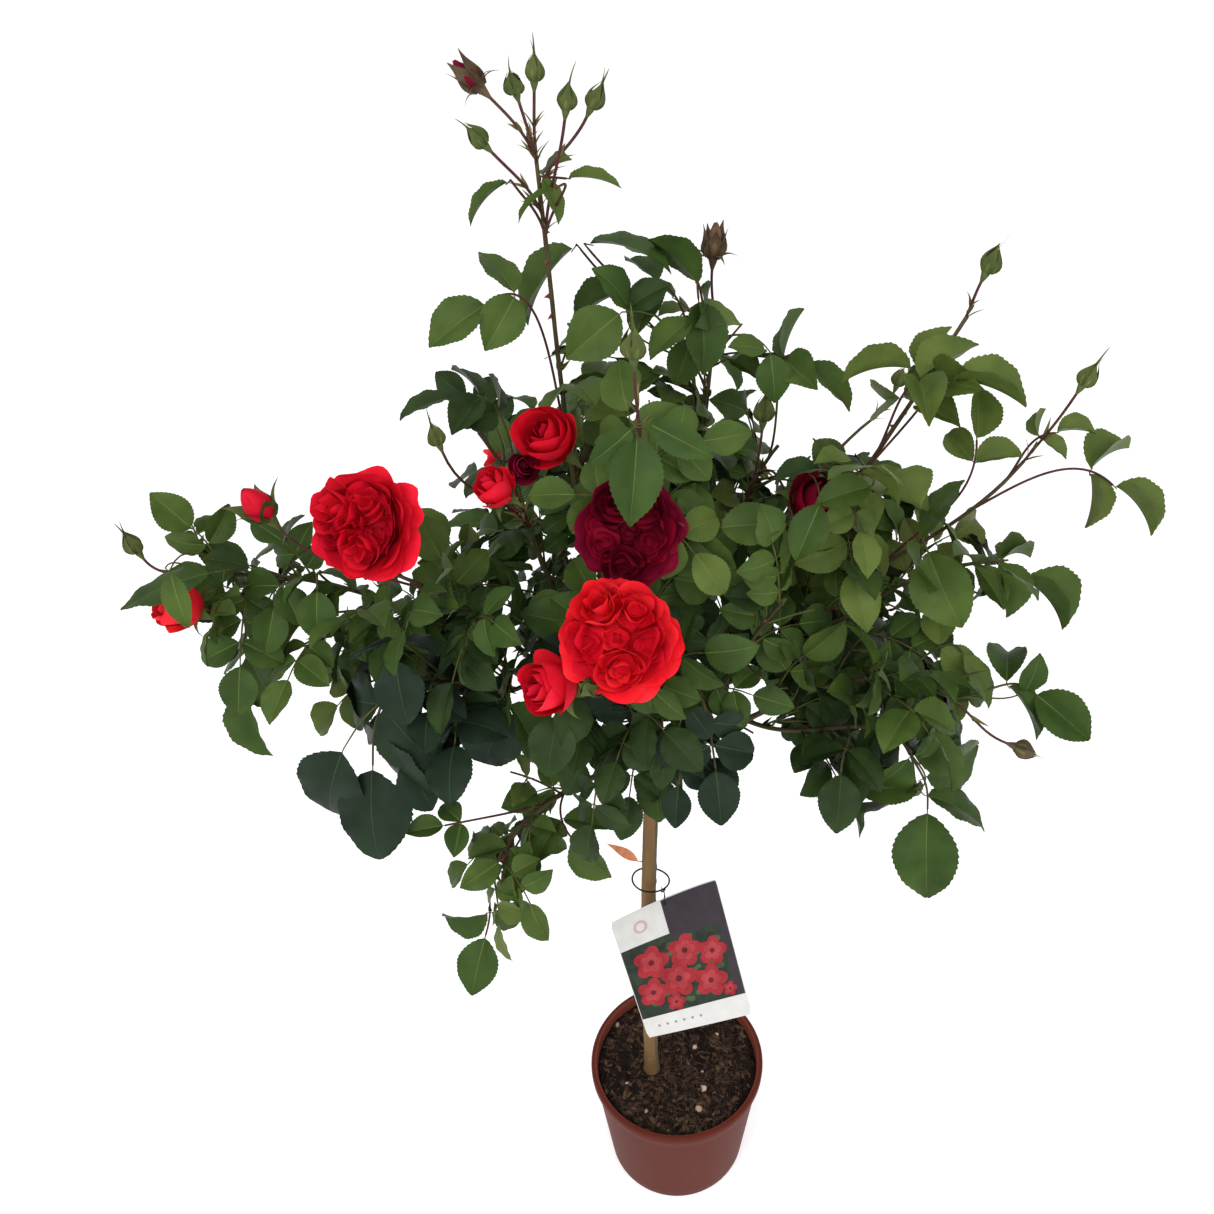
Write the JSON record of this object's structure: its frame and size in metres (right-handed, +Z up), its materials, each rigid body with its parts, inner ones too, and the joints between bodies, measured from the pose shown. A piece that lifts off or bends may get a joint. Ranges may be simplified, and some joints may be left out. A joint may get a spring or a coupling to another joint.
{
  "type": "potted tree rose",
  "caption": "Tree rose in a tapered pot: a clean upright stem with a loose, arching head of leafy canes, double blooms and buds, and a plant label tied to the stem.",
  "frame": {"origin": "middle of the pot's flat underside", "axes": "+Z up; -Y is the front, the side that the large blooms and the label face; +X is to the right seen from the front"},
  "size_m": [0.7221, 0.4933, 1.2016],
  "materials": {
    "pot": "satin moulded plastic",
    "soil": "rough bark and fibre compost",
    "bark": "smooth woody stem",
    "cane": "smooth green cane",
    "leaf": "semi-gloss leaf",
    "petal": "velvety petal",
    "label": "satin card",
    "tie": "matt black"
  },
  "bodies": {
    "root": {"bough_back": "cane", "bough_back_east": "cane", "bough_back_west": "cane", "bough_east": "cane", "bough_front_top": "cane", "bough_north": "cane", "bough_north_east": "cane", "bough_south": "cane", "bough_south_east": "cane", "bough_south_west": "cane", "bough_tall": "cane", "bough_west": "cane", "bough_west_high": "cane", "label_card": "label", "label_tie": "tie", "mass_back": "leaf", "mass_back_east": "leaf", "mass_back_low": "leaf", "mass_back_west": "leaf", "mass_east": "leaf", "mass_east_high": "leaf", "mass_east_low": "leaf", "mass_front": "leaf", "mass_front_east": "leaf", "mass_front_top": "leaf", "mass_north": "leaf", "mass_north_east": "leaf", "mass_north_inner": "leaf", "mass_north_west": "leaf", "mass_south": "leaf", "mass_south_east": "leaf", "mass_south_east_low": "leaf", "mass_south_west": "leaf", "mass_tall": "leaf", "mass_west": "leaf", "mass_west_high": "leaf", "mass_west_low": "leaf", "pot": "pot", "soil": "soil", "trunk": "bark"}
  },
  "joints": []
}
